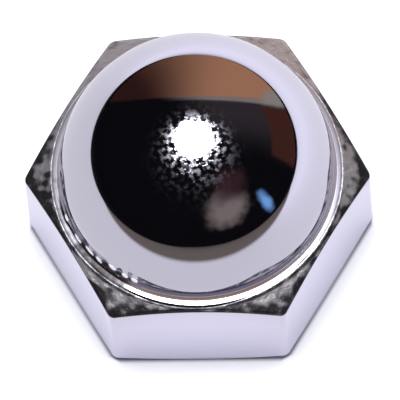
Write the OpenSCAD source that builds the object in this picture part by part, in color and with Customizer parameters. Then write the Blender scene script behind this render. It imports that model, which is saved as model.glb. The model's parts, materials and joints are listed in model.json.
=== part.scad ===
// Cap nut: a chamfered hexagon with a turned shoulder, and a half-ball dome over a blind threaded hole.
// It stands on its bearing face, centred on the origin, with the dome up.
// Two corners of the hexagon point along X and two wrench flats face along Y.

/* [Hexagon] */
// Width across the wrench flats
across_flats = 17; // [15:0.5:20]
// Height of the hexagon, from the bearing face to the ledge round the dome
hex_h = 7.3; // [5:0.1:10]
// Radius on the six upright corners
corner_r = 0.5; // [0.1:0.05:1.2]
// Distance from a flat in to the circle where the top chamfer starts
top_inset = 0.38; // [0.2:0.02:0.6]
// Slope of the top chamfer
top_chamfer_angle = 30; // [15:1:35]
// Radius of the shoulder between the ledge and the top chamfer
shoulder_r = 0.5; // [0.2:0.05:0.7]
// Distance from a flat in to the edge of the bearing face
bearing_inset = 0.2; // [0.05:0.05:0.6]
// Slope of the chamfer under the hexagon
bearing_chamfer_angle = 16; // [10:1:30]

/* [Dome] */
// Width of the ledge, from the dome's wall to the circle where the top chamfer starts
ledge_w = 0.35; // [0.3:0.01:0.8]
// Height of the straight wall under the dome
dome_wall_h = 0.15; // [0.14:0.01:1]
// Radius of the fillet at the foot of that wall
dome_foot_r = 0.1; // [0.05:0.01:0.12]

/* [Threaded hole] */
// Nominal diameter of the thread
thread_d = 10; // [8:0.5:11]
// Pitch of the thread
thread_pitch = 1.5; // [0.75:0.05:1.75]
// Depth of the hole at its full width
hole_depth = 10.5; // [8:0.5:11.5]
// Full angle of the pointed end of the hole
drill_point_angle = 118; // [90:1:140]
// Diameter of the countersink at the mouth
countersink_d = 10.8; // [10.2:0.1:12]
// Full angle of the countersink
countersink_angle = 120; // [90:1:130]

/* [Hidden] */
$fn = 96;
// Share of the full height of a sharp 60 degree thread that is cut into the nut
thread_share = 5 / 8;
// Steps that round each corner of the hexagon
corner_steps = 4;
// Overrun of a cutting form past the metal that it cuts
overrun = 1;

flat_r = across_flats / 2;
point_r = flat_r / cos(30);
corner_centre_r = (flat_r - corner_r) / cos(30);
turned_r = point_r + overrun;

bearing_r = flat_r - bearing_inset;
bearing_rise = (turned_r - bearing_r) * tan(bearing_chamfer_angle);
top_r = flat_r - top_inset;
top_drop = (turned_r - top_r) * tan(top_chamfer_angle);
shoulder_centre_r = top_r - shoulder_r * tan(top_chamfer_angle / 2);

dome_r = top_r - ledge_w;
dome_z = hex_h + dome_wall_h;
crown_z = dome_z + dome_r;

tap_r = thread_d / 2 - thread_share * thread_pitch * sin(60);
mouth_r = countersink_d / 2;
mouth_depth = (mouth_r - tap_r) / tan(countersink_angle / 2);
point_depth = tap_r / tan(drill_point_angle / 2);

// Hexagon with its six corners rounded in short steps that start and end square to the flats
module bar_section() {
    polygon([for (corner = [0:60:300], step = [0:corner_steps])
        let (turn = corner - 30 + 60 * step / corner_steps)
        corner_centre_r * [cos(corner), sin(corner)] + corner_r * [cos(turn), sin(turn)]]);
}

// Half section of the hexagon's turned ends, past the corners
module hex_profile() {
    polygon([
        [0, 0],
        [bearing_r, 0],
        [turned_r, bearing_rise],
        [turned_r, hex_h - top_drop],
        shoulder_point(top_chamfer_angle),
        shoulder_point(0),
        [0, hex_h]
    ]);
    translate([shoulder_centre_r, hex_h - shoulder_r])
        circle(r = shoulder_r);
}

// Place on the rounded shoulder where its face has this slope
function shoulder_point(slope) =
    [shoulder_centre_r, hex_h - shoulder_r] + shoulder_r * [sin(slope), cos(slope)];

// Half section of the dome, on its short straight wall
module dome_profile() {
    square([dome_r, dome_z]);
    translate([0, dome_z])
        intersection() {
            circle(r = dome_r);
            square(dome_r);
        }
    foot_fillet(dome_r, hex_h, dome_foot_r);
}

// Hollow round between a wall at this radius and the face that it stands on
module foot_fillet(wall_r, face_z, r) {
    translate([wall_r, face_z])
        difference() {
            square(r);
            translate([r, r])
                circle(r = r);
        }
}

// All that is turned on the bar: chamfers, shoulder and dome
module turned_form() {
    rotate_extrude() {
        hex_profile();
        dome_profile();
    }
}

// Drilled and countersunk hole, at the width that the thread is cut from
module tapped_hole() {
    rotate_extrude()
        polygon([
            [0, -overrun],
            [mouth_r + overrun * tan(countersink_angle / 2), -overrun],
            [tap_r, mouth_depth],
            [tap_r, hole_depth],
            [0, hole_depth + point_depth]
        ]);
}

module cap_nut() {
    color([0.80, 0.80, 0.83])
        difference() {
            intersection() {
                linear_extrude(crown_z + overrun)
                    bar_section();
                turned_form();
            }
            tapped_hole();
        }
}

cap_nut();
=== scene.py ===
"""A chrome-plated cap nut, standing on white paper under one overhead light.

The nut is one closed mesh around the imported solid: a half-ball dome, a hexagon with a turned and
chamfered shoulder, the bearing face and a blind threaded hole. Every surface is a function of two
parameters, the angle round the nut's axis and a place along its outline, in whole arrays.

Sizes in the classes are millimetres where they don't say metres. Blender's units are metres.
"""

import json
import logging
import math
from dataclasses import dataclass, field
from enum import Enum
from functools import reduce

import bpy
import numpy as np
from mathutils import Matrix, Vector


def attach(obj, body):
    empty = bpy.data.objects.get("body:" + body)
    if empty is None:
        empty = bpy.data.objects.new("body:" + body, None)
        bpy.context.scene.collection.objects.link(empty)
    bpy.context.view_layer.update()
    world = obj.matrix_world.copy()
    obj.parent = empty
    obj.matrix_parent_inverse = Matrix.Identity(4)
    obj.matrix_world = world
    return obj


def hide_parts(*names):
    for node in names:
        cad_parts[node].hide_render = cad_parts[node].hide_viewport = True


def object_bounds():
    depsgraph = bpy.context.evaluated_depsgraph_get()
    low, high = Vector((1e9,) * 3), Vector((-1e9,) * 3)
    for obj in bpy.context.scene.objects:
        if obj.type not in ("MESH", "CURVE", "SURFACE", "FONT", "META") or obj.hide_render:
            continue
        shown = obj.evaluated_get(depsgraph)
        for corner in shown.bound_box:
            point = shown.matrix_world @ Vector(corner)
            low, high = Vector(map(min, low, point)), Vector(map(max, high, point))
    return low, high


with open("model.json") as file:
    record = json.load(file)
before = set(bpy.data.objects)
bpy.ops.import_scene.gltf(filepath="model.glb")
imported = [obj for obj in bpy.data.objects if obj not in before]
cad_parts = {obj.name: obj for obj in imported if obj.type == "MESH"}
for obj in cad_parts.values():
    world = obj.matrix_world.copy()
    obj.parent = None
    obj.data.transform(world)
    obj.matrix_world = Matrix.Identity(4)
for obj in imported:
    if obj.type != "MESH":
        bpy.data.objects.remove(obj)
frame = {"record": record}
CAD_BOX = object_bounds()

LOG = logging.getLogger("cap_nut")
MM = 0.001
CORNERS = 6
SECTOR = 2 * math.pi / CORNERS
QUARTER = math.pi / 2

Array = np.ndarray
Socket = bpy.types.NodeSocket
Colour = tuple[float, float, float, float]
# Values between which a share rises
Span = tuple[float, float]
# Values between which a share rises, and then those between which it falls
Window = tuple[float, float, float, float]


class Region(Enum):
    """Stretches of the nut's outline that differ in finish."""

    DOME = "dome"
    NECK = "neck"
    SHOULDER = "shoulder"
    CHAMFER = "chamfer"
    FLAT = "flat"
    UNDERSIDE = "underside"
    HOLE = "hole"


class Mask(Enum):
    """Names of the vertex attributes that the finish reads, in its order."""

    ROUGH_PLATE = "rough_plate"
    BARE_METAL = "bare_metal"
    CROWN = "crown"
    SATIN = "satin"
    PAINTED_SHADE = "painted_shade"
    GRIT = "grit"
    NECK_BROWN = "neck_brown"
    GLINT_SPECKS = "glint_specks"


class Turns(Enum):
    """Windows of degrees round the axis, counted from the nut's right, so that its front is 270."""

    NEAR_SIDE = (190, 215, 335, 358)
    SMOOTH_FRONT = (238, 262, 275, 310)
    SMOOTH_RIGHT = (275, 300, 330, 350)
    BRIGHT_LEDGE = (236, 244, 310, 336)
    BROWN_FRONT = (215, 255, 295, 330)
    DARK_LINE = (186, 198, 236, 248)
    LEFT_POINT = (172, 184, 205, 225)
    BACK_POINTS = (15, 45, 150, 172)


def soft_step(x: Array, low: float, high: float) -> Array:
    """Rise smoothly from 0 to 1 between two values: t * t * (3 - 2 t).

    Args:
        x: Values to step.
        low: Value where the rise starts.
        high: Value where the rise ends.

    Returns:
        The steps, in the shape of x.
    """
    t = np.clip((x - low) / (high - low), 0.0, 1.0)
    return t * t * (3 - 2 * t)


def soft_ramp(x: Array, width: float) -> Array:
    """Zero for negative x and x for positive x, blended as width * log(1 + exp(x / width))."""
    return width * np.logaddexp(0.0, x / width)


def soft_switch(x: Array, width: float) -> Array:
    """Slope of soft_ramp: 1 / (1 + exp(-x / width))."""
    return 0.5 * (1 + np.tanh(0.5 * x / width))


def soft_least(a: Array, b: Array, width: float) -> Array:
    """The smaller of two values, blended where they are near: a - soft_ramp(a - b)."""
    return a - soft_ramp(a - b, width)


def bump_at(x: Array, middle: float, width: float) -> Array:
    """A bump of height 1 at the middle: exp(-a^2), with a the distance from it over the width."""
    return np.exp(-(((x - middle) / width) ** 2))


def steepness(degrees: float) -> float:
    """Tangent of an angle in degrees."""
    return math.tan(math.radians(degrees))


def ease(count: int) -> Array:
    """count + 1 parameters from 0 to 1 that crowd towards both ends: (1 - cos(pi t)) / 2."""
    return (1 - np.cos(math.pi * np.linspace(0.0, 1.0, count + 1))) / 2


def rows_between(start: Array, end: Array, steps: int, eased: bool = True) -> Array:
    """Rows from one row to another, without the first: start + t (end - start).

    Args:
        start: The row before the first.
        end: The last row.
        steps: Number of rows.
        eased: Whether the rows crowd towards both ends.

    Returns:
        The rows, each as wide as start and end.
    """
    t = ease(steps) if eased else np.linspace(0.0, 1.0, steps + 1)
    return start + (end - start) * t[1:, None]


def waves(points: Array, shortest: float, longest: float, count: int, seed: int) -> Array:
    """Smooth noise between about -1 and 1: a sum of sine waves in random directions.

    Each wave is sin(k . p + phase), where k has a random direction and a length of 2 pi over a
    wavelength drawn between the two limits.

    Args:
        points: Places, with their three coordinates last.
        shortest: Shortest wavelength.
        longest: Longest wavelength.
        count: Number of waves.
        seed: Seed of the random draws.

    Returns:
        One value for each place.
    """
    draw = np.random.default_rng(seed)
    heading = draw.normal(size=(count, 3))
    heading /= np.linalg.norm(heading, axis=1, keepdims=True)
    length = np.exp(draw.uniform(math.log(shortest), math.log(longest), size=(count, 1)))
    phase = draw.uniform(0, 2 * math.pi, size=count)
    total = np.sin(points @ (heading * 2 * math.pi / length).T + phase).sum(axis=-1)
    return total / math.sqrt(2 * count)


@dataclass
class Strip:
    """Part of a surface: rows run along the outline and columns run round the axis.

    Args:
        radius: Distance from the axis, rows by columns.
        height: Height above the bearing face, rows by columns.
        region: The part of the nut that it is.
    """

    radius: Array
    height: Array
    region: Region

    def __post_init__(self) -> None:
        """Give radius and height the same shape."""
        self.radius, self.height = np.broadcast_arrays(self.radius, self.height)

    def across(self, columns: int) -> tuple[Array, Array]:
        """The radius and the height, spread over this many columns."""
        shape = (len(self.radius), columns)
        return np.broadcast_to(self.radius, shape), np.broadcast_to(self.height, shape)


@dataclass
class HexOutline:
    """Hexagon seen from above, with rounded corners, two of them on the X axis.

    Args:
        flat_r: Distance from the axis to a flat.
        corner_r: Radius on each corner.
        corner_columns: Columns across one rounded corner.
        flat_columns: Columns across one flat.
        even_share: How far a flat's columns are evenly spaced, and not crowded at its ends.
    """

    flat_r: float
    corner_r: float = 0.5
    corner_columns: int = 12
    flat_columns: int = 52
    even_share: float = 0.45

    @property
    def centre_r(self) -> float:
        """Distance from the axis to the centre of a corner's radius."""
        return (self.flat_r - self.corner_r) / math.cos(SECTOR / 2)

    @property
    def corner_turn(self) -> float:
        """Half of the angle that a rounded corner covers, seen from the axis."""
        across = self.corner_r * math.sin(SECTOR / 2)
        return math.atan2(across, self.centre_r + self.corner_r * math.cos(SECTOR / 2))

    def angles(self) -> Array:
        """Angles of the columns, in order from the start of the first corner.

        Each sector runs over its corner in even steps, and over the flat after it in steps that
        are a mix of even and eased ones.

        Returns:
            The angles.
        """
        turn = self.corner_turn
        corner = np.linspace(-turn, turn, self.corner_columns, endpoint=False)
        even = np.linspace(0.0, 1.0, self.flat_columns, endpoint=False)
        mixed = self.even_share * even + (1 - self.even_share) * ease(self.flat_columns)[:-1]
        sector = np.concatenate([corner, turn + (SECTOR - 2 * turn) * mixed])
        return (sector + SECTOR * np.arange(CORNERS)[:, None]).ravel()

    def radius(self, angle: Array) -> Array:
        """Distance from the axis to the outline.

        A flat gives flat_r / cos(angle from the flat's middle). A corner gives the far crossing of
        the ray with the corner's circle: c cos t + sqrt(r^2 - (c sin t)^2), where t is the angle
        from the corner.

        Args:
            angle: Angles round the axis.

        Returns:
            The distances.
        """
        turn = np.abs((angle + SECTOR / 2) % SECTOR - SECTOR / 2)
        flat = self.flat_r / np.cos(SECTOR / 2 - turn)
        held = np.minimum(turn, self.corner_turn)
        aside = self.centre_r * np.sin(held)
        corner = self.centre_r * np.cos(held) + np.sqrt(self.corner_r**2 - aside**2)
        return np.where(turn > self.corner_turn, flat, corner)


@dataclass
class Hexagon:
    """The hexagon: the shoulder and the chamfer on its top, its flats and the chamfer under it.

    Args:
        outline: The hexagon seen from above.
        height: Height of the top, beside the dome.
        shoulder_inset: Distance from a flat in to the circle where the top chamfer starts.
        top_slope: Slope of the top chamfer, in degrees.
        shoulder: Width over which the top rounds into its chamfer.
        bearing_inset: Distance from a flat in to the edge of the bearing face.
        bearing_slope: Slope of the lower chamfer, in degrees.
        edge_r: Radius on the edge between the chamfer and a flat.
        edge_gap: Least distance from the rounded shoulder to that edge.
        edge_blend: Width over which the shoulder's rows give way to it.
        foot_edge_r: Radius on the edge under a flat.
        crease: Width over which the lower chamfer blends into the bearing face.
        shoulder_rows, chamfer_rows, edge_rows, flat_rows, foot_rows: Rows on each part.
        under_rows: Rows on the lower chamfer, and on the bearing face.
    """

    outline: HexOutline
    height: float
    shoulder_inset: float = 0.38
    top_slope: float = 30.0
    shoulder: float = 0.095
    bearing_inset: float = 0.2
    bearing_slope: float = 16.0
    edge_r: float = 0.09
    edge_gap: float = 0.05
    edge_blend: float = 0.02
    foot_edge_r: float = 0.15
    crease: float = 0.015
    shoulder_rows: int = 12
    chamfer_rows: int = 14
    edge_rows: int = 6
    flat_rows: int = 16
    foot_rows: int = 5
    under_rows: int = 8

    @property
    def shoulder_r(self) -> float:
        """Radius of the circle where the top chamfer starts."""
        return self.outline.flat_r - self.shoulder_inset

    @property
    def bearing_r(self) -> float:
        """Radius of the edge of the bearing face."""
        return self.outline.flat_r - self.bearing_inset

    def top_height(self, r: Array) -> Array:
        """Height of the top at a radius: level, then falling by the chamfer's slope."""
        fall = steepness(self.top_slope) * soft_ramp(r - self.shoulder_r, self.shoulder)
        return self.height - fall

    def under_height(self, r: Array) -> Array:
        """Height of the underside at a radius: zero, then rising by the lower chamfer's slope."""
        return steepness(self.bearing_slope) * soft_ramp(r - self.bearing_r, self.crease)

    def strips(self, angle: Array, inner_r: float, hole_r: float) -> list[Strip]:
        """Surfaces from the foot of the dome over the flats to the mouth of the hole.

        Rows on the top, the chamfer and the underside are straight blends of two radii at the
        height that top_height or under_height gives. The edges are arcs that touch the faces on
        both sides. The shoulder's rows reach over four widths of its rounding.

        Args:
            angle: Angles of the columns.
            inner_r: Radius at the foot of the dome.
            hole_r: Radius where the underside ends.

        Returns:
            The strips, from the top down.
        """
        rim = self.outline.radius(angle)
        arc_r, r = rim - self.edge_r, self.edge_r
        lean = np.arctan(
            steepness(self.top_slope) * soft_switch(arc_r - self.shoulder_r, self.shoulder))
        brow = arc_r + r * np.sin(lean)
        reach = np.full_like(rim, self.shoulder_r + 4 * self.shoulder)
        bend_r = soft_least(reach, brow - self.edge_gap, self.edge_blend)
        bend = rows_between(inner_r, bend_r, self.shoulder_rows, eased=False)
        slope = rows_between(bend_r, brow, self.chamfer_rows)
        turn = rows_between(lean, QUARTER, self.edge_rows, eased=False)
        arc_z = self.top_height(brow) - r * np.cos(lean)

        low_arc_r, low_r = rim - self.foot_edge_r, self.foot_edge_r
        low_lean = np.arctan(
            steepness(self.bearing_slope) * soft_switch(low_arc_r - self.bearing_r, self.crease))
        foot = low_arc_r + low_r * np.sin(low_lean)
        low_arc_z = self.under_height(foot) + low_r * np.cos(low_lean)
        flat_z = rows_between(arc_z, low_arc_z, self.flat_rows)
        low_turn = rows_between(QUARTER, low_lean, self.foot_rows, eased=False)
        face_r = soft_least(np.full_like(rim, self.bearing_r), foot - 2 * self.crease, self.crease)
        under = rows_between(foot, face_r, self.under_rows)
        face = rows_between(face_r, hole_r, self.under_rows)
        return [
            Strip(bend, self.top_height(bend), Region.SHOULDER),
            Strip(slope, self.top_height(slope), Region.CHAMFER),
            Strip(arc_r + r * np.sin(turn), arc_z + r * np.cos(turn), Region.FLAT),
            Strip(rim[None, :], flat_z, Region.FLAT),
            Strip(low_arc_r + low_r * np.sin(low_turn), low_arc_z - low_r * np.cos(low_turn),
                  Region.FLAT),
            Strip(under, self.under_height(under), Region.UNDERSIDE),
            Strip(face, self.under_height(face), Region.UNDERSIDE),
        ]


@dataclass
class Crown:
    """The dome, and the hollow neck at its foot.

    Args:
        crown_z: Height of the top of the dome.
        hex_h: Height of the hexagon's top, where the neck ends.
        dome_r: Radius of the dome.
        neck_r: Radius of the hollow at the dome's foot.
        dome_rows, wall_rows, neck_rows: Rows on each part.
    """

    crown_z: float
    hex_h: float
    dome_r: float
    neck_r: float = 0.17
    dome_rows: int = 60
    wall_rows: int = 2
    neck_rows: int = 20

    @property
    def dome_z(self) -> float:
        """Height of the dome's centre."""
        return self.crown_z - self.dome_r

    @property
    def neck_end_r(self) -> float:
        """Radius where the neck meets the top of the hexagon."""
        return self.dome_r + self.neck_r

    def strips(self) -> list[Strip]:
        """Surfaces from just under the top of the dome down to the hexagon.

        The dome is R sin a out and R cos a up from its centre, for a from 0 to 90 degrees. The
        neck is a quarter circle, hollow outwards.

        Returns:
            The strips, from the top down, each with one column.
        """
        polar = np.linspace(0, QUARTER, self.dome_rows + 1)[1:, None]
        hollow = np.linspace(0, QUARTER, self.neck_rows + 1)[1:, None]
        neck_z = self.hex_h + self.neck_r
        wall_z = rows_between(self.dome_z, neck_z, self.wall_rows, eased=False)
        return [
            Strip(self.dome_r * np.sin(polar), self.dome_z + self.dome_r * np.cos(polar),
                  Region.DOME),
            Strip(np.array([[self.dome_r]]), wall_z, Region.NECK),
            Strip(self.neck_end_r - self.neck_r * np.cos(hollow),
                  neck_z - self.neck_r * np.sin(hollow), Region.NECK),
        ]


@dataclass
class ThreadedHole:
    """Blind hole with a countersunk mouth, a right-hand thread and a drill point.

    Args:
        tap_r: Minor radius of the thread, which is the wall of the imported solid.
        major_r: Major radius of the thread.
        pitch: Pitch of the thread.
        depth: Depth of the hole at its full width.
        mouth_r: Radius of the countersink at the bearing face.
        sink_angle: Full angle of the countersink, in degrees.
        point_angle: Full angle of the drill point, in degrees.
        run_out: Heights between which the thread fades into the plain wall.
        groove: Shares of half a pitch from a groove's middle where its flank starts and ends.
        blend: Share of the thread's depth over which the flank rounds off.
        plain_ring: Width of the thin plain ring after the end of the thread.
        columns: Columns round the hole.
        thread_rows, plain_rows, point_rows: Rows on each part.
    """

    tap_r: float
    major_r: float = 5.0
    pitch: float = 1.5
    depth: float = 10.5
    mouth_r: float = 5.4
    sink_angle: float = 120.0
    point_angle: float = 118.0
    run_out: Span = (8.4, 9.4)
    groove: Span = (1 / 8, 3 / 4)
    blend: float = 0.05
    plain_ring: float = 0.1
    columns: int = 128
    thread_rows: int = 190
    plain_rows: int = 6
    point_rows: int = 10

    @property
    def point_h(self) -> float:
        """Height of the drill point."""
        return self.tap_r / steepness(self.point_angle / 2)

    @property
    def tip_z(self) -> float:
        """Height of the drill point's tip above the bearing face."""
        return self.depth + self.point_h

    def angles(self) -> Array:
        """Angles of the columns, evenly spaced from the start of the hexagon's columns."""
        return 2 * math.pi * np.arange(self.columns) / self.columns

    def thread(self, angle: Array, z: Array) -> Array:
        """Radius of the threaded wall.

        The phase is z / pitch - angle / (2 pi), so the groove climbs by one pitch in a turn. Its
        distance from the middle of the groove sets the depth: full for an eighth of the pitch,
        none over the crest's quarter, and a straight 60 degree flank between them.

        Args:
            angle: Angles of the columns.
            z: Heights of the rows.

        Returns:
            The radii, rows by columns.
        """
        away = np.abs(2 * ((z / self.pitch - angle / (2 * math.pi)) % 1.0) - 1)
        root_end, crest_start = self.groove
        share = (crest_start - away) / (crest_start - root_end)
        share = 1 - soft_ramp(1 - soft_ramp(share, self.blend), self.blend)
        fade = 1 - soft_step(z, *self.run_out)
        return self.tap_r + (self.major_r - self.tap_r) * np.clip(share, 0, 1) * fade

    def strips(self, angle: Array) -> list[Strip]:
        """Surfaces from the mouth up to just below the drill point's tip.

        The mouth is the wider of the countersink's cone and the thread.

        Args:
            angle: Angles of the columns.

        Returns:
            The strips, from the bearing face up.
        """
        z = np.linspace(0, self.run_out[1] + self.plain_ring, self.thread_rows)[:, None]
        sink = self.mouth_r - z * steepness(self.sink_angle / 2)
        inward = np.linspace(0, 1, self.point_rows + 1)[1:-1, None]
        plain = np.full((1, len(angle)), self.tap_r)
        return [
            Strip(np.maximum(sink, self.thread(angle, z)), z, Region.HOLE),
            Strip(plain, rows_between(z[-1], self.depth, self.plain_rows), Region.HOLE),
            Strip(plain * (1 - inward), self.depth + inward * self.point_h, Region.HOLE),
        ]


@dataclass
class Grid:
    """Strips joined into one grid of places, with the region of each row.

    Args:
        angle: Angle of every vertex, rows by columns.
        strips: The strips in order.
    """

    angle: Array
    strips: list[Strip]
    places: Array = field(init=False)
    region: Array = field(init=False)

    def __post_init__(self) -> None:
        """Work out each vertex: (r cos a, r sin a, z)."""
        spread = [strip.across(self.angle.shape[-1]) for strip in self.strips]
        radius, height = (np.vstack(parts) for parts in zip(*spread))
        self.angle = np.broadcast_to(self.angle, radius.shape)
        self.places = np.stack(
            [radius * np.cos(self.angle), radius * np.sin(self.angle), height], axis=-1)
        self.region = np.repeat([strip.region.value for strip in self.strips],
                                [len(strip.radius) for strip in self.strips])

    def rows(self, *regions: Region) -> Array:
        """Rows that lie in the named regions, as a column of ones and zeros."""
        return np.isin(self.region, [r.value for r in regions]).astype(float)[:, None]

    def normals(self) -> Array:
        """Outward unit normals: the change along the rows crossed with the change round them."""
        along = np.gradient(self.places, axis=0)
        ring = np.roll(self.places, -1, axis=1) - np.roll(self.places, 1, axis=1)
        normal = np.cross(along, ring)
        return normal / np.maximum(np.linalg.norm(normal, axis=-1, keepdims=True), 1e-12)


@dataclass
class WearAndPaintedLight:
    """Where the finish differs outside the hole, and where shade and glints are painted: for each
    mask, a share from 0 to 1 at each vertex.

    Distances past the shoulder are counted outwards from the circle where the top chamfer starts.

    Args:
        grid: Grid of the outside.
        crown: The dome and its neck.
        hexagon: The hexagon.
    """

    grid: Grid
    crown: Crown
    hexagon: Hexagon
    # Where the rough plating starts past the shoulder, added up over the turns, and its fade
    smooth_reaches: tuple[tuple[Turns, float], ...] = (
        (Turns.NEAR_SIDE, 0.02), (Turns.SMOOTH_FRONT, 0.06), (Turns.SMOOTH_RIGHT, -0.07))
    rough_fade: float = 0.16
    # Distances in from the hexagon's edge between which the grain comes up
    plain_edge: Span = (0.03, 0.22)
    # Brown in the neck: its share away from the front, its fade at the neck's end and up the dome
    brown_rest: float = 0.45
    brown_fade: float = 0.08
    brown_top: Span = (0.26, 0.36)
    # Painted dark line of shade in the neck: its distances in from the neck's end, the degrees
    # between them, and its width
    line_inward: tuple[float, float] = (0.04, 0.14)
    line_bend: Span = (200, 214)
    line_width: float = 0.07
    # Painted white glints, each on a small raised speck: degrees, half-lengths, slanting distances
    # from the axis, the share of the height that the slanting distance takes off the radius, and
    # the half-width
    speck_turns: tuple[float, ...] = (200.8, 211.3, 219.5, 225.4, 232.7, 239.0, 243.5)
    speck_lengths: tuple[float, ...] = (0.26, 0.38, 0.42, 0.28, 0.32, 0.24, 0.26)
    speck_reaches: tuple[float, ...] = (7.78, 7.75, 7.62, 7.6, 7.45, 7.47, 7.47)
    speck_slant: float = 0.31
    speck_half: float = 0.11
    # Clouds in the painted shade: shortest and longest wave, number of waves, and how far they bend
    # the edge
    clouds: tuple[float, float, int] = (0.45, 1.8, 40)
    cloud_share: float = 0.3
    # Painted shade on the chamfer: its span from ledge to edge, what the left point and the
    # diagonals add to it, how much of it the points at the back are spared, and its fade in from
    # the ledge
    chamfer_span: Span = (0.1, 0.9)
    point_share: float = 0.28
    lean_share: float = 0.1
    back_spared: float = 0.8
    chamfer_fade: float = 0.2
    # Pale patch in the painted shade on the chamfer: its middle and width in degrees, and its end
    # past the shoulder
    pale_turn: float = 223.0
    pale_width: float = 10.0
    pale_end: Span = (0.5, 0.75)
    # Painted shade on the ledge's left: two rises, each a share and a span of degrees, and its end
    left_shade_rises: tuple[tuple[float, float, float], ...] = ((0.3, 165, 200), (0.58, 204, 222))
    left_shade_end: Span = (236, 246)
    # Painted dark seam at the end of the shoulder, dimming the lamp's reflection there: its place,
    # width and darkness, and how much of it the pale patch is spared
    seam_place: float = 0.19
    seam_width: float = 0.11
    seam_shade: float = 0.95
    seam_spared: float = 0.2
    # Shade at the foot of the flats, and the heights over which it fades
    foot_shade: float = 0.42
    foot_fade: Span = (0.05, 0.4)
    # Worn patch on the dome: its middle, and its edge as shares of the dome's radius
    worn_middle: tuple[float, float] = (0.25, -2.1)
    worn_edge: Span = (0.16, 0.46)
    # Dull ledge: its end past the shoulder where bright and where dull, its fade, and how much of
    # the dullness the bright stretch and the dark line take away
    dull_end: tuple[float, float] = (0.02, 0.27)
    dull_fade: float = 0.14
    bright_spared: float = 0.9
    line_spared: float = 0.8

    def __post_init__(self) -> None:
        """Measure every vertex: its radius, its degrees round the axis and its height."""
        self.radius = np.hypot(self.grid.places[..., 0], self.grid.places[..., 1])
        self.turn = np.degrees(self.grid.angle) % 360
        self.height = self.grid.places[..., 2]
        self.past = self.radius - self.hexagon.shoulder_r
        self.rim = self.hexagon.outline.radius(self.grid.angle)

    def within(self, turns: Turns) -> Array:
        """Share of 1 inside a window of degrees, fading to 0 past its ends."""
        rise, top, fall, end = turns.value
        return soft_step(self.turn, rise, top) * (1 - soft_step(self.turn, fall, end))

    def rough_share(self) -> Array:
        """Rough plating over the shoulder and the chamfer, past a smooth line beside the ledge."""
        start = sum(reach * self.within(turns) for turns, reach in self.smooth_reaches)
        cover = soft_step(self.past, start, start + self.rough_fade)
        return cover * self.grid.rows(Region.SHOULDER, Region.CHAMFER)

    def grit(self) -> Array:
        """Coarse grain of the rough plating on the chamfer, fading to 0 at the hexagon's edge."""
        return self.rough_share() * soft_step(self.rim - self.radius, *self.plain_edge)

    def dark_line(self) -> Array:
        """Painted dark line of shade along the left of the neck."""
        first, last = self.line_inward
        inward = first + (last - first) * soft_step(self.turn, *self.line_bend)
        across = self.radius - self.crown.neck_end_r + inward
        return bump_at(across, 0.0, self.line_width) * self.within(Turns.DARK_LINE)

    def neck_brown(self) -> Array:
        """Brown in the neck: thickest along the front, where it runs up the dome's foot."""
        front = self.within(Turns.BROWN_FRONT)
        end = self.crown.neck_end_r
        thick = self.brown_rest + (1 - self.brown_rest) * front
        neck = thick * (1 - soft_step(self.radius, end - self.brown_fade, end))
        wall = front * (1 - soft_step(self.height - self.hexagon.height, *self.brown_top))
        spread = np.maximum(neck * self.grid.rows(Region.NECK), wall * self.grid.rows(Region.DOME))
        return spread * (1 - self.dark_line())

    def glint_specks(self) -> Array:
        """Painted white glints, as specks along the dome's foot: the largest of exp(-(a^2 + b^2)).

        a is the distance round the nut over the speck's half-length. b is the distance in or out
        over its half-width, where height above the ledge counts as a share of it inwards.

        Returns:
            Shares, rows by columns.
        """
        apart = np.radians((self.turn[..., None] - np.array(self.speck_turns) + 180) % 360 - 180)
        along = apart * self.radius[..., None] / np.array(self.speck_lengths)
        slanting = self.radius - self.speck_slant * (self.height - self.hexagon.height)
        across = (slanting[..., None] - np.array(self.speck_reaches)) / self.speck_half
        near = self.grid.rows(Region.DOME, Region.NECK, Region.SHOULDER)
        return np.exp(-(along**2 + across**2)).max(axis=-1) * near

    def painted_shade(self) -> Array:
        """Painted shade on the chamfer, the ledge and the foot of the flats.

        On the chamfer it grows from the ledge out to the hexagon's edges, less so on the two points
        at the back, and clouds bend it. A painted dark seam across the end of the shoulder darkens
        it on the near side. On the ledge it is painted shade along the left side, with a painted
        dark line.

        Returns:
            Shares, rows by columns.
        """
        clouds = waves(self.grid.places, *self.clouds, seed=23)
        pale = bump_at(self.turn, self.pale_turn, self.pale_width)
        pale *= 1 - soft_step(self.past, *self.pale_end)
        reach = self.past / (self.rim - self.hexagon.shoulder_r) + self.cloud_share * clouds
        reach += self.lean_share * np.sin(np.radians(2 * (270 - self.turn))) - pale
        reach += self.point_share * self.within(Turns.LEFT_POINT)
        chamfer = soft_step(reach, *self.chamfer_span)
        chamfer *= 1 - self.back_spared * self.within(Turns.BACK_POINTS)
        left_shade = sum(share * soft_step(self.turn, *span) for share, *span in self.left_shade_rises)
        ledge = np.maximum(left_shade * (1 - soft_step(self.turn, *self.left_shade_end)), self.dark_line())
        seam = self.seam_shade * bump_at(self.past, self.seam_place, self.seam_width)
        seam *= self.within(Turns.NEAR_SIDE) * (1 - self.seam_spared * pale)
        top = ledge + (chamfer - ledge) * soft_step(self.past, 0.0, self.chamfer_fade)
        top = np.maximum(np.clip(top, 0, 1), seam)
        foot = self.foot_shade * (1 - soft_step(self.height, *self.foot_fade))
        return (top * self.grid.rows(Region.NECK, Region.SHOULDER, Region.CHAMFER)
                + foot * self.grid.rows(Region.FLAT))

    def crown_share(self) -> Array:
        """Worn patch on the dome: 1 a little in front of its top, fading to 0 down its sides."""
        away = np.linalg.norm(self.grid.places[..., :2] - np.array(self.worn_middle), axis=-1)
        worn = 1 - soft_step(away / self.crown.dome_r, *self.worn_edge)
        return worn * self.grid.rows(Region.DOME)

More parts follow.
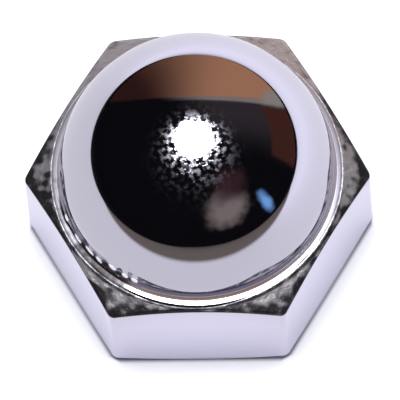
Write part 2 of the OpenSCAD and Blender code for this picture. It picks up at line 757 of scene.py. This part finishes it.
    def satin_share(self) -> Array:
        """Dull turned ledge, from the neck to the shoulder, brighter along the front and right."""
        bright = self.within(Turns.BRIGHT_LEDGE)
        least, most = self.dull_end
        end = least + (most - least) * (1 - bright)
        cover = 1 - soft_step(self.past, end, end + self.dull_fade)
        dull = (1 - self.bright_spared * bright) * (1 - self.line_spared * self.dark_line())
        return cover * dull * self.grid.rows(Region.NECK, Region.SHOULDER)

    def shares(self) -> dict[Mask, Array]:
        """The share of every mask, rows by columns."""
        return {
            Mask.ROUGH_PLATE: self.rough_share(),
            Mask.BARE_METAL: np.zeros(self.radius.shape),
            Mask.CROWN: self.crown_share(),
            Mask.SATIN: self.satin_share(),
            Mask.PAINTED_SHADE: self.painted_shade(),
            Mask.GRIT: self.grit(),
            Mask.NECK_BROWN: self.neck_brown(),
            Mask.GLINT_SPECKS: self.glint_specks(),
        }


@dataclass
class CapNut:
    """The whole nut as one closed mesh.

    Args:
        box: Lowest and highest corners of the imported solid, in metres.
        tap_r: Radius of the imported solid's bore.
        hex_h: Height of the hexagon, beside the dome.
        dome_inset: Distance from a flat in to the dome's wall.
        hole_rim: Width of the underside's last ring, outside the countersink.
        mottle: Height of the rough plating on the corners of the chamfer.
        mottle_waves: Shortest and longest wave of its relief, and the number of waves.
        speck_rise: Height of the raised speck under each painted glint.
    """

    box: tuple[Vector, Vector]
    tap_r: float
    hex_h: float = 7.3
    dome_inset: float = 0.73
    hole_rim: float = 0.1
    mottle: float = 0.012
    mottle_waves: tuple[float, float, int] = (0.16, 0.7, 48)
    speck_rise: float = 0.06

    def __post_init__(self) -> None:
        """Size the sub-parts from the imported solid's box."""
        low, high = self.box
        flat_r = (high[1] - low[1]) / 2 / MM
        self.hexagon = Hexagon(HexOutline(flat_r), self.hex_h)
        self.crown = Crown(high[2] / MM, self.hex_h, flat_r - self.dome_inset)
        self.hole = ThreadedHole(self.tap_r)

    def outside(self) -> Grid:
        """Grid from the dome to the underside.

        Columns follow the hexagon's angles, and slide into even steps over the underside, so that
        the last ring lies over the hole's columns.

        Returns:
            The grid, without the pole on top of the dome.
        """
        angle = self.hexagon.outline.angles()
        end_r = self.hole.mouth_r + self.hole_rim
        strips = self.crown.strips() + self.hexagon.strips(angle, self.crown.neck_end_r, end_r)
        even = angle[0] + 2 * math.pi * np.arange(len(angle)) / len(angle)
        last = len(strips[-1].radius)
        slide = np.zeros((sum(len(strip.radius) for strip in strips), 1))
        slide[-last:, 0] = np.linspace(0, 1, last + 1)[1:]
        return Grid(angle + (even - angle) * slide, strips)

    def inside(self) -> Grid:
        """Grid of the hole, without the pole at the drill point."""
        angle = self.hexagon.outline.angles()[0] + self.hole.angles()
        return Grid(angle[None, :], self.hole.strips(angle))

    def build(self) -> bpy.types.Object:
        """Make the mesh, its relief and its masks, and its object.

        Returns:
            The nut's object, at the origin.
        """
        outside, inside = self.outside(), self.inside()
        shares = WearAndPaintedLight(outside, self.crown, self.hexagon).shares()
        ripple = waves(outside.places, *self.mottle_waves, seed=11)
        relief = self.mottle * shares[Mask.GRIT] * ripple
        relief += self.speck_rise * shares[Mask.GLINT_SPECKS]
        outside.places += outside.normals() * relief[..., None]
        mesh = self.join(outside, inside)
        for mask, share in shares.items():
            within = np.full(inside.places.shape[:2], float(mask is Mask.BARE_METAL))
            poles = [share[0].mean(), within[0, 0]]
            values = np.concatenate([share.ravel(), within.ravel(), poles])
            attribute = mesh.attributes.new(mask.value, "FLOAT", "POINT")
            attribute.data.foreach_set("value", values.astype(np.float32))
        return put_in_scene("cap_nut_body", mesh)

    def join(self, outside: Grid, inside: Grid) -> bpy.types.Mesh:
        """Join both grids and two poles into one closed mesh.

        Each grid gives quads. Fans close the poles, on top of the dome and at the drill point's
        tip. Every step of the hole's first ring meets three steps of the underside's last ring by
        four triangles.

        Args:
            outside: Grid of the outside.
            inside: Grid of the hole.

        Returns:
            The mesh, with smooth faces.
        """
        poles = np.array([[0, 0, self.crown.crown_z], [0, 0, self.hole.tip_z]])
        places = np.vstack([outside.places.reshape(-1, 3), inside.places.reshape(-1, 3), poles])
        top, tip = len(places) - 2, len(places) - 1
        split = outside.places[..., 0].size
        outer = np.arange(split).reshape(outside.places.shape[:2])
        inner = np.arange(split, top).reshape(inside.places.shape[:2])

        ring, last = outer[0], inner[-1]
        cap = np.stack([np.full_like(ring, top), ring, np.roll(ring, -1)], axis=1)
        plug = np.stack([last, np.full_like(last, tip), np.roll(last, -1)], axis=1)
        near, far = inner[0], np.roll(inner[0], -1)
        step = outer.shape[1] // inner.shape[1]
        rim = [np.roll(outer[-1], -k)[::step] for k in range(step + 1)]
        corners = ((rim[0], near, rim[1]), (rim[1], near, far), (rim[1], far, rim[2]),
                   (rim[2], far, rim[3]))
        seam = [np.stack(corner, axis=1) for corner in corners]
        quads = np.vstack([self.grid_faces(outer), self.grid_faces(inner)])
        return mesh_from_arrays("cap_nut_body", places * MM, quads, np.vstack([cap, plug, *seam]))

    @staticmethod
    def grid_faces(index: Array) -> Array:
        """Quads of a grid that closes round its columns.

        Args:
            index: Vertex numbers, rows by columns.

        Returns:
            Four vertex numbers for each quad, in outward order.
        """
        upper, lower = index[:-1], index[1:]
        corners = [upper, lower, np.roll(lower, -1, axis=1), np.roll(upper, -1, axis=1)]
        return np.stack(corners, axis=-1).reshape(-1, 4)


def mesh_from_arrays(name: str, places: Array, quads: Array, triangles: Array) -> bpy.types.Mesh:
    """Put arrays of vertices and faces into a mesh.

    Args:
        name: Name of the mesh.
        places: Vertices, in metres.
        quads: Faces of four vertices.
        triangles: Faces of three vertices.

    Returns:
        The mesh, with smooth shading.
    """
    mesh = bpy.data.meshes.new(name)
    mesh.vertices.add(len(places))
    mesh.vertices.foreach_set("co", places.astype(np.float32).ravel())
    corners = np.concatenate([quads.ravel(), triangles.ravel()]).astype(np.int32)
    sizes = np.repeat([4, 3], [len(quads), len(triangles)])
    starts = np.concatenate([[0], np.cumsum(sizes)[:-1]]).astype(np.int32)
    mesh.loops.add(len(corners))
    mesh.loops.foreach_set("vertex_index", corners)
    mesh.polygons.add(len(sizes))
    mesh.polygons.foreach_set("loop_start", starts)
    mesh.polygons.foreach_set("use_smooth", np.ones(len(sizes), dtype=bool))
    mesh.update(calc_edges=True)
    mesh.validate()
    return mesh


def put_in_scene(name: str, data: bpy.types.ID) -> bpy.types.Object:
    """Make an object of a mesh, a lamp or a camera, and link it to the scene."""
    made = bpy.data.objects.new(name, data)
    bpy.context.scene.collection.objects.link(made)
    return made


class NodeBoard:
    """Short ways to add shader nodes to a material or a world.

    Args:
        owner: The material or the world, whose node tree is cleared.
    """

    def __init__(self, owner: bpy.types.ID) -> None:
        """Clear the node tree and keep it."""
        owner.use_nodes = True
        self.tree = owner.node_tree
        self.tree.nodes.clear()

    def feed(self, socket: Socket, value: object) -> None:
        """Link another node's socket to this input, or set it to a plain value."""
        if isinstance(value, Socket):
            self.tree.links.new(value, socket)
        else:
            socket.default_value = value

    def add(self, kind: str, **inputs: object) -> bpy.types.Node:
        """Add a node and set or link its inputs.

        Args:
            kind: Blender's name of the node type, without its first word.
            **inputs: Values or sockets, by input name with underscores for spaces. A name that
                isn't an input sets the node's own property.

        Returns:
            The node.
        """
        node = self.tree.nodes.new("ShaderNode" + kind)
        for name, value in inputs.items():
            socket = node.inputs.get(name.replace("_", " "))
            if socket is None:
                setattr(node, name, value)
            else:
                self.feed(socket, value)
        return node

    def math(self, operation: str, *values: object) -> Socket:
        """Apply a math operation to up to three values or sockets."""
        node = self.add("Math", operation=operation)
        for socket, value in zip(node.inputs, values):
            self.feed(socket, value)
        return node.outputs[0]

    def times(self, a: object, b: object) -> Socket:
        """Product of two values."""
        return self.math("MULTIPLY", a, b)

    def scaled(self, value: object, factor: object, shift: object) -> Socket:
        """The value times the factor, plus the shift."""
        return self.math("MULTIPLY_ADD", value, factor, shift)

    def most(self, *values: object) -> Socket:
        """The greatest of the values."""
        return reduce(lambda a, b: self.math("MAXIMUM", a, b), values)

    def others(self, share: object) -> Socket:
        """What a share leaves of the whole: 1 - share."""
        return self.math("SUBTRACT", 1.0, share)

    def length(self, a: object, b: object) -> Socket:
        """Length of two parts at right angles: sqrt(a^2 + b^2)."""
        return self.math("SQRT", self.scaled(a, a, self.times(b, b)))

    def mix(self, share: object, a: object, b: object) -> Socket:
        """Blend two values by a share: a + share * (b - a)."""
        return self.scaled(share, self.math("SUBTRACT", b, a), a)

    def blend(self, share: object, a: object, b: object) -> Socket:
        """Blend two colours by a share."""
        node = self.add("Mix", data_type="RGBA")
        for key, value in ((0, share), (6, a), (7, b)):
            self.feed(node.inputs[key], value)
        return node.outputs[2]

    def rise(self, value: Socket, low: float, high: float) -> Socket:
        """Rise smoothly from 0 to 1 while the value goes from low to high."""
        return self.add("MapRange", interpolation_type="SMOOTHSTEP", Value=value, From_Min=low,
                        From_Max=high).outputs["Result"]

    def band(self, value: Socket, window: Window) -> Socket:
        """Rise from 0 to 1 over the window's first two values, and fall over the last two."""
        return self.math("SUBTRACT", self.rise(value, *window[:2]), self.rise(value, *window[2:]))

    def noise(self, place: Socket, size: float, detail: float) -> Socket:
        """Noise from 0 to 1 whose features are about this size in metres."""
        return self.add("TexNoise", Vector=place, Scale=1 / size, Detail=detail).outputs["Fac"]

    def swing(self, noise: Socket, width: float) -> Socket:
        """Noise that goes over this width, with its middle at zero."""
        return self.scaled(noise, width, -width / 2)


def first_bounce(board: NodeBoard) -> Socket:
    """1 for rays that have met the plating at most once, and 0 for later ones."""
    return board.math("LESS_THAN", board.add("LightPath").outputs["Glossy Depth"], 1.5)


def glossy_share(board: NodeBoard) -> Socket:
    """1 for glossy rays that have met the plating once, and 0 for all others."""
    return board.times(board.add("LightPath").outputs["Is Glossy Ray"], first_bounce(board))


@dataclass(frozen=True)
class Texture:
    """A pattern of noise on the plating.

    Args:
        size: Size of its spots, in metres.
        detail: Levels of finer noise in them.
        strength: What a full spot adds: roughness, tarnish, or depth in metres.
        span: Values of the noise between which a spot comes up, or None for the plain noise.
    """

    size: float
    detail: float
    strength: float
    span: Span | None = None

    def share(self, board: NodeBoard, place: Socket) -> Socket:
        """How far each place lies in a spot, from 0 to 1."""
        noise = board.noise(place, self.size, self.detail)
        return board.rise(noise, *self.span) if self.span else noise


@dataclass(frozen=True)
class ChromePlate:
    """Bright polished chrome plate, rougher on the chamfer's corners and bare steel in the hole.

    Each tint is a colour and each gloss is a roughness.

    Args:
        slot: The record's material slot.
        plate_tint: The polished plate.
        rough_tint: The rough plate on the chamfer.
        dark_tint: The painted shade.
        neck_brown_tint: The brown in the neck.
        glint_tint: The painted white glints at the dome's foot.
        steel_tint: The bare thread.
        plate_gloss: The polished plate.
        rough_gloss: The rough plate.
        satin_gloss: The ledge round the dome.
        steel_gloss: The thread.
        matt_gloss: The brown in the neck and the painted glints.
        dullness: Share of matt colour in the rough and the satin plate.
        dark_span: Painted shade, with its blotches, between which the plate darkens.
        clean_span: Painted shade alone between which the blotches come up.
        glint_span: Share of a speck between which the painted glint's edge comes up.
        grit_span: Share of grit between which the grain comes up.
        clouds: Faint clouds in the polished plate.
        stains: Stains on the rough plate.
        worn: Worn spots on top of the dome.
        blotches: Blotches in the painted shade.
        peel: Slow ripples in the plate.
        pits: Pits on top of the dome.
        grain: Grain of the rough plate.
    """

    slot: str = "chrome_plate"
    plate_tint: Colour = (0.64, 0.62, 0.72, 1.0)
    rough_tint: Colour = (0.54, 0.52, 0.55, 1.0)
    dark_tint: Colour = (0.045, 0.04, 0.046, 1.0)
    neck_brown_tint: Colour = (0.22, 0.15, 0.13, 1.0)
    glint_tint: Colour = (0.93, 0.93, 0.94, 1.0)
    steel_tint: Colour = (0.42, 0.4, 0.39, 1.0)
    plate_gloss: float = 0.035
    rough_gloss: float = 0.38
    satin_gloss: float = 0.32
    steel_gloss: float = 0.32
    matt_gloss: float = 0.6
    dullness: float = 0.12
    dark_span: Span = (0.05, 0.95)
    clean_span: Span = (0.0, 0.2)
    glint_span: Span = (0.35, 0.6)
    grit_span: Span = (0.4, 1.0)
    clouds: Texture = Texture(0.9 * MM, 3.0, 0.015, (0.35, 0.65))
    stains: Texture = Texture(0.35 * MM, 4.0, 0.16, (0.35, 0.7))
    worn: Texture = Texture(0.3 * MM, 3.0, 0.2, (0.42, 0.62))
    blotches: Texture = Texture(0.7 * MM, 4.0, 1.8)
    peel: Texture = Texture(1.6 * MM, 1.0, 0.0016 * MM)
    pits: Texture = Texture(0.22 * MM, 3.0, 0.0034 * MM, (0.56, 0.74))
    grain: Texture = Texture(0.2 * MM, 3.0, 0.035 * MM)

    def material(self) -> bpy.types.Material:
        """Build the material.

        Returns:
            The material, with its colour, roughness and relief worked out from Object coordinates
            and the mesh's masks.
        """
        material = bpy.data.materials.new(self.slot)
        board = NodeBoard(material)
        place = board.add("TexCoord").outputs["Object"]
        rough, bare, crown, satin, painted_shade, coarse, neck_brown, speck = (
            board.add("Attribute", attribute_name=mask.value).outputs["Fac"] for mask in Mask)
        glint = board.rise(speck, *self.glint_span)
        matt = board.most(neck_brown, glint)
        worked = board.most(satin, rough)

        blotch = board.swing(self.blotches.share(board, place), self.blotches.strength)
        shade = board.rise(board.math("ADD", painted_shade, board.times(blotch, worked)), *self.dark_span)
        dark = board.times(shade, board.rise(painted_shade, *self.clean_span))
        # Painted shade darkens the plate on the chamfer, the ledge, the neck's line and the flats'
        # foot, and painted white glints whiten it at the dome's foot.
        colour = self.plate_tint
        for share, tint in ((rough, self.rough_tint), (dark, self.dark_tint),
                            (neck_brown, self.neck_brown_tint), (glint, self.glint_tint),
                            (bare, self.steel_tint)):
            colour = board.blend(share, colour, tint)

        clouds, worn, stains, peel, pits, grain = (
            texture.share(board, place) for texture in (
                self.clouds, self.worn, self.stains, self.peel, self.pits, self.grain))
        haze = board.times(board.times(worn, crown), self.worn.strength)
        clouded = board.scaled(clouds, self.clouds.strength, self.plate_gloss)
        gloss = board.math("ADD", clouded, haze)
        mottled = board.scaled(stains, self.stains.strength, self.rough_gloss)
        for share, value in ((satin, self.satin_gloss), (rough, mottled),
                             (bare, self.steel_gloss), (matt, self.matt_gloss)):
            gloss = board.mix(share, gloss, value)
        metal = board.others(board.most(board.times(worked, self.dullness), matt))

        pits = board.times(pits, crown)
        grain = board.times(grain, board.rise(coarse, *self.grit_span))
        relief: dict[str, Socket] = {}
        for height, texture in ((peel, self.peel), (pits, self.pits), (grain, self.grain)):
            bump = board.add("Bump", Height=height, Distance=texture.strength, **relief)
            relief = {"Normal": bump.outputs["Normal"]}
        shader = board.add("BsdfPrincipled", Base_Color=colour, Metallic=metal, Roughness=gloss,
                           **relief)
        board.add("OutputMaterial", Surface=shader.outputs["BSDF"])
        return material


@dataclass
class PaperSheet:
    """White paper under the nut, with a table and a dark floor past it seen only in the plating.

    Args:
        half_size: Half the side of the floor, in metres.
        left: Distance from the nut to the paper's left edge, in metres.
        right: Distance to its right edge.
        front: Distance to its front edge.
        back: Distance to its back edge.
        soft: Half the width over which an edge fades.
        white: Colour of the paper.
        mirrored: Colour of the paper in the plating, which holds it below full white.
        mirrored_far: The same far behind the nut.
        mirrored_near: The same beside the nut, painted brighter there against the nut's own shade.
        far: Sums of x and y over which the far colour comes up, in metres.
        near: Distances from the axis over which the near colour fades, in metres.
        contact: Distances from the axis, square to a flat, over which the shade at the foot fades.
        corner: Distances from the axis over which it fades past a corner.
        shaded: Colour of that shade.
        standing_r: Radius under the nut inside which the sheet is see-through, in metres.
        table: Colour of the table in front of the paper.
        dark: Colour of the floor past the paper's sides.
    """

    half_size: float = 3.0
    left: float = 0.135
    right: float = 0.25
    front: float = 0.045
    back: float = 2.5
    soft: float = 0.008
    white: Colour = (0.93, 0.93, 0.95, 1.0)
    mirrored: Colour = (0.52, 0.51, 0.51, 1.0)
    mirrored_far: Colour = (0.72, 0.71, 0.74, 1.0)
    mirrored_near: Colour = (0.765, 0.755, 0.82, 1.0)
    far: Span = (-0.02, 0.08)
    near: Span = (0.0085, 0.0150)
    contact: Span = (0.00840, 0.00872)
    corner: Span = (0.0096, 0.0098)
    shaded: Colour = (0.27, 0.27, 0.32, 1.0)
    standing_r: float = 0.0082
    table: Colour = (0.115, 0.095, 0.08, 1.0)
    dark: Colour = (0.006, 0.005, 0.006, 1.0)

    def build(self) -> None:
        """Make the floor."""
        mesh = bpy.data.meshes.new("paper_floor")
        s = self.half_size
        mesh.from_pydata([(-s, -s, 0), (s, -s, 0), (s, s, 0), (-s, s, 0)], [], [(0, 1, 2, 3)])
        mesh.materials.append(self.material())
        put_in_scene("paper_floor", mesh)

    def past(self, board: NodeBoard, place: Socket, sign: float, edge: float) -> Socket:
        """Rise from 0 to 1 past an edge, where sign times the coordinate passes the distance."""
        return board.rise(board.times(place, sign), edge - self.soft, edge + self.soft)

    def mirrored_sheet(self, board: NodeBoard, x: Socket, y: Socket, reach: Socket) -> Socket:
        """Colour that the plating mirrors: the paper, the table in front and the dark floor."""
        far = board.rise(board.math("ADD", x, y), *self.far)
        paper = board.blend(far, self.mirrored, self.mirrored_far)
        # Painted light: the mirrored paper is brighter beside the nut, against the nut's own shade.
        paper = board.blend(board.rise(reach, *self.near), self.mirrored_near, paper)
        beyond = board.most(self.past(board, x, -1.0, self.left),
                            self.past(board, x, 1.0, self.right),
                            self.past(board, y, 1.0, self.back))
        seen = board.blend(self.past(board, y, -1.0, self.front), paper, self.table)
        return board.blend(beyond, seen, self.dark)

    def contact_share(self, board: NodeBoard, x: Socket, y: Socket, reach: Socket) -> Socket:
        """How far a place lies in the thin shade round the foot of the nut, from 0 to 1.

        The distance from the axis square to a flat is the greatest of |x cos t + y sin t| over the
        directions t of the flats.

        Args:
            board: Board of the paper's node tree.
            x: Place along X.
            y: Place along Y.
            reach: Distance from the axis.

        Returns:
            The share.
        """
        gap = board.most(*(
            board.math("ABSOLUTE", board.scaled(x, math.cos(t), board.times(y, math.sin(t))))
            for t in (QUARTER, SECTOR / 2, -SECTOR / 2)))
        clear = board.most(board.rise(gap, *self.contact), board.rise(reach, *self.corner))
        return board.others(clear)

    def material(self) -> bpy.types.Material:
        """Matt white paper. Glossy rays alone see it dimmer, with what lies past its edges.

        The sheet is see-through from below and under the bearing face, so that the underside can
        be viewed.

        Returns:
            The material.
        """
        material = bpy.data.materials.new("paper")
        board = NodeBoard(material)
        place = board.add("TexCoord").outputs["Object"]
        x, y = board.add("SeparateXYZ", Vector=place).outputs[:2]
        reach = board.length(x, y)
        lit = board.blend(glossy_share(board), self.white, self.mirrored_sheet(board, x, y, reach))
        lit = board.blend(self.contact_share(board, x, y, reach), lit, self.shaded)
        under_nut = board.math("LESS_THAN", reach, self.standing_r)
        from_below = board.add("NewGeometry").outputs["Backfacing"]
        shader = board.add("MixShader", Fac=board.most(under_nut, from_below))
        sheet = board.add("BsdfDiffuse", Color=lit)
        for socket, layer in zip(shader.inputs[1:], (sheet, board.add("BsdfTransparent"))):
            board.feed(socket, layer.outputs["BSDF"])
        board.add("OutputMaterial", Surface=shader.outputs["Shader"])
        return material


@dataclass(frozen=True)
class RoomPatch:
    """A soft oval of colour in the room around the nut.

    Args:
        azimuth: Direction of its middle from the back towards the right, in degrees.
        elevation: Height of its middle, in degrees.
        half_width: Half its width, in degrees of azimuth.
        half_height: Half its height, in degrees.
        soft: Share of its size over which the edge fades.
        colour: Colour of the patch.
    """

    azimuth: float
    elevation: float
    half_width: float
    half_height: float
    soft: float
    colour: Colour

    def outside(self, board: NodeBoard, azimuth: Socket, elevation: Socket, bend: Socket) -> Socket:
        """Rise from 0 inside the oval to 1 outside it, with its edge bent by the noise."""
        across = board.scaled(azimuth, 1 / self.half_width, -self.azimuth / self.half_width)
        up = board.scaled(elevation, 1 / self.half_height, -self.elevation / self.half_height)
        far = board.math("ADD", board.length(across, up), bend)
        return board.rise(far, 1 - self.soft, 1 + self.soft)


@dataclass
class Room:
    """What the plating mirrors above the paper: a dark room, a warm wall and a few dim things.

    The spans and windows say where a thing comes up, and where it ends, in a direction's own parts:
    x to the right, y to the back and z up.

    Args:
        dark: Colour of the room's left and front.
        dim: Colour of its right.
        wall: Colour of the warm wall behind.
        wall_shade: Colour of the wall's left end.
        ledge: Colour of the grey strip along the top of the wall.
        panel: Colour of the red panel on the right.
        below: Colour under the horizon, which only the underside sees.
        dim_x, dim_y: The dim right.
        panel_x, panel_y, panel_top: The panel, with the heights over which it ends.
        wall_x, wall_y: The end of the wall's shade, and the wall.
        ledge_x, ledge_y: The strip.
        horizon: Heights over which the colour below fades.
        bend_scale: Scale of the noise that bends the patches.
        bend: How far it bends them, as a share of their size.
        patches: Small things in the room.
    """

    dark: Colour = (0.004, 0.004, 0.005, 1.0)
    dim: Colour = (0.036, 0.030, 0.032, 1.0)
    wall: Colour = (0.45, 0.222, 0.12, 1.0)
    wall_shade: Colour = (0.032, 0.012, 0.010, 1.0)
    ledge: Colour = (0.26, 0.23, 0.2, 1.0)
    panel: Colour = (0.064, 0.022, 0.015, 1.0)
    below: Colour = (0.75, 0.75, 0.78, 1.0)
    dim_x: Span = (-0.3, 0.4)
    dim_y: Span = (-0.1, 0.5)
    panel_x: Span = (0.5, 0.7)
    panel_y: Window = (-0.02, 0.06, 0.57, 0.62)
    panel_top: Span = (0.36, 0.44)
    wall_x: Span = (-0.6, 0.35)
    wall_y: Span = (0.635, 0.675)
    ledge_x: Span = (-0.45, 0.3)
    ledge_y: Window = (0.60, 0.635, 0.645, 0.69)
    horizon: Span = (-0.25, -0.05)
    bend_scale: float = 7.0
    bend: float = 0.9
    patches: tuple[RoomPatch, ...] = (
        RoomPatch(151.0, 27.0, 17.0, 12.0, 0.5, (0.24, 0.20, 0.18, 1.0)),
        RoomPatch(152.0, 38.0, 10.0, 7.0, 0.5, (0.19, 0.155, 0.145, 1.0)),
        RoomPatch(137.0, 45.0, 18.0, 11.0, 0.6, (0.045, 0.02, 0.022, 1.0)),
        RoomPatch(120.5, 11.5, 3.6, 9.0, 0.7, (0.22, 0.5, 0.92, 1.0)),
        RoomPatch(47.0, 5.0, 5.0, 13.0, 0.5, (0.31, 0.29, 0.24, 1.0)),
    )

    def colour(self, board: NodeBoard, heading: Socket) -> Socket:
        """Work out the room's colour in a direction.

        The wall, its strip and the panel are soft bands of the direction's own parts. The patches
        are ovals in azimuth, atan2(x, y), and elevation, asin(z), both bent a little by noise.

        Args:
            board: Board of the world's node tree.
            heading: The direction, as a unit vector.

        Returns:
            The colour.
        """
        x, y, z = board.add("SeparateXYZ", Vector=heading).outputs
        dim = board.times(board.rise(x, *self.dim_x), board.rise(y, *self.dim_y))
        colour = board.blend(dim, self.dark, self.dim)
        low = board.others(board.rise(z, *self.panel_top))
        panel = board.times(board.rise(x, *self.panel_x),
                            board.times(low, board.band(y, self.panel_y)))
        colour = board.blend(panel, colour, self.panel)
        wall = board.blend(board.rise(x, *self.wall_x), self.wall_shade, self.wall)
        colour = board.blend(board.rise(y, *self.wall_y), colour, wall)
        strip = board.times(board.band(y, self.ledge_y), board.rise(x, *self.ledge_x))
        colour = board.blend(strip, colour, self.ledge)

        bend = board.swing(board.noise(heading, 1 / self.bend_scale, 2.0), self.bend)
        azimuth = board.times(board.math("ARCTAN2", x, y), math.degrees(1))
        elevation = board.times(board.math("ARCSINE", z), math.degrees(1))
        for patch in self.patches:
            outside = patch.outside(board, azimuth, elevation, bend)
            colour = board.blend(outside, patch.colour, colour)
        return board.blend(board.rise(z, *self.horizon), self.below, colour)


@dataclass
class Studio:
    """The light: a round overhead lamp, a pale sky for the paper, and the room in the plating.

    Args:
        lamp_place: Place of the lamp, in metres.
        lamp_half_angle: Half of the angle that the lamp covers, seen from the nut, in degrees.
        lamp_watts: Power of the lamp.
        sky: Colour of the pale light on the paper.
        between: Colour of the room where one face of the nut mirrors another.
        white: Colour behind the scene.
        room: What glossy rays see.
    """

    lamp_place: tuple[float, float, float] = (-0.005, 0.022, 0.5)
    lamp_half_angle: float = 15.2
    lamp_watts: float = 2.6
    sky: Colour = (0.60, 0.62, 0.69, 1.0)
    between: Colour = (0.3, 0.29, 0.32, 1.0)
    white: Colour = (1.0, 1.0, 1.0, 1.0)
    room: Room = field(default_factory=Room)

    def build(self) -> None:
        """Add the lamp and the world."""
        self.lamp()
        self.world()

    def lamp(self) -> None:
        """Add the round lamp, facing down."""
        light = bpy.data.lights.new("overhead_lamp", "AREA")
        light.shape = "DISK"
        light.size = 2 * self.lamp_place[2] * steepness(self.lamp_half_angle)
        light.energy = self.lamp_watts
        put_in_scene("overhead_lamp", light).location = self.lamp_place

    def world(self) -> None:
        """White behind the scene, pale for matt surfaces, and the room for glossy rays."""
        world = bpy.data.worlds.new("studio")
        bpy.context.scene.world = world
        board = NodeBoard(world)
        heading = board.add("TexCoord").outputs["Generated"]
        path = board.add("LightPath").outputs
        room = board.blend(first_bounce(board), self.between, self.room.colour(board, heading))
        colour = board.blend(path["Is Glossy Ray"], self.sky, room)
        colour = board.blend(path["Is Camera Ray"], colour, self.white)
        back = board.add("Background", Color=colour, Strength=1.0)
        board.add("OutputWorld", Surface=back.outputs["Background"])


@dataclass
class ProductCamera:
    """Long lens, high in front of the nut, rolled a little.

    Args:
        elevation: Height of the view, in degrees.
        azimuth: Turn of the view towards +X, in degrees.
        roll: Turn of the camera about its view, in degrees.
        distance: Distance from the aimed point, in metres.
        picture: Side of the square picture, in pixels.
        scale: Pixels for each millimetre at the nut.
        axis_pixel: Pixel where the nut's axis crosses axis_height.
        axis_height: Height on the axis, in millimetres.
        sensor: Width of the sensor, in millimetres.
        nearest: Distance from which things are drawn, in metres.
    """

    elevation: float = 67.0
    azimuth: float = 4.6
    roll: float = 4.95
    distance: float = 0.65
    picture: float = 400.0
    scale: float = 17.745
    axis_pixel: tuple[float, float] = (197.06, 174.5)
    axis_height: float = 6.85
    sensor: float = 36.0
    nearest: float = 0.01

    def build(self) -> None:
        """Add the camera and make it the scene's.

        The axes are right, up and back for the elevation and azimuth, then turned about back by
        the roll. The aimed point lies off the nut's axis by the pixels between axis_pixel and the
        picture's middle.
        """
        e, a, r = (math.radians(v) for v in (self.elevation, self.azimuth, self.roll))
        right = Vector((math.cos(a), math.sin(a), 0.0))
        back = Vector((math.sin(a) * math.cos(e), -math.cos(a) * math.cos(e), math.sin(e)))
        up = back.cross(right)
        rolled_right = right * math.cos(r) - up * math.sin(r)
        rolled_up = right * math.sin(r) + up * math.cos(r)
        middle = self.picture / 2
        across = (middle - self.axis_pixel[0]) / self.scale * MM
        rise = (self.axis_pixel[1] - middle) / self.scale * MM
        aim = Vector((0, 0, self.axis_height * MM)) + rolled_right * across + rolled_up * rise

        data = bpy.data.cameras.new("product_camera")
        data.sensor_width = self.sensor
        data.lens = self.sensor * self.distance / (self.picture / self.scale * MM)
        data.clip_start = self.nearest
        camera = put_in_scene("product_camera", data)
        turn = Matrix((rolled_right, rolled_up, back)).transposed().to_4x4()
        camera.matrix_world = Matrix.Translation(aim + back * self.distance) @ turn
        bpy.context.scene.camera = camera


def bore_radius(record: dict) -> float:
    """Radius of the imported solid's threaded hole, in millimetres.

    Args:
        record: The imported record.

    Returns:
        The radius that the thread's mount states.
    """
    mounts = {mount["name"]: mount for mount in record["mounts"]}
    return mounts["thread"]["dims"]["r_mm"]


def main() -> None:
    """Build the stage, the camera and the nut, and log each one."""
    logging.basicConfig(level=logging.INFO, format="%(name)s: %(message)s")
    bpy.context.scene.view_settings.view_transform = "Standard"
    PaperSheet().build()
    LOG.info("paper laid")
    Studio().build()
    LOG.info("studio lit")
    ProductCamera().build()
    LOG.info("camera placed")

    body = CapNut(CAD_BOX, bore_radius(frame["record"])).build()
    finish = ChromePlate()
    body.data.materials.append(finish.material())
    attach(body, "root")
    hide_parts("cap_nut")
    LOG.info("nut built: %d faces", len(body.data.polygons))


if __name__ == "__main__":
    main()
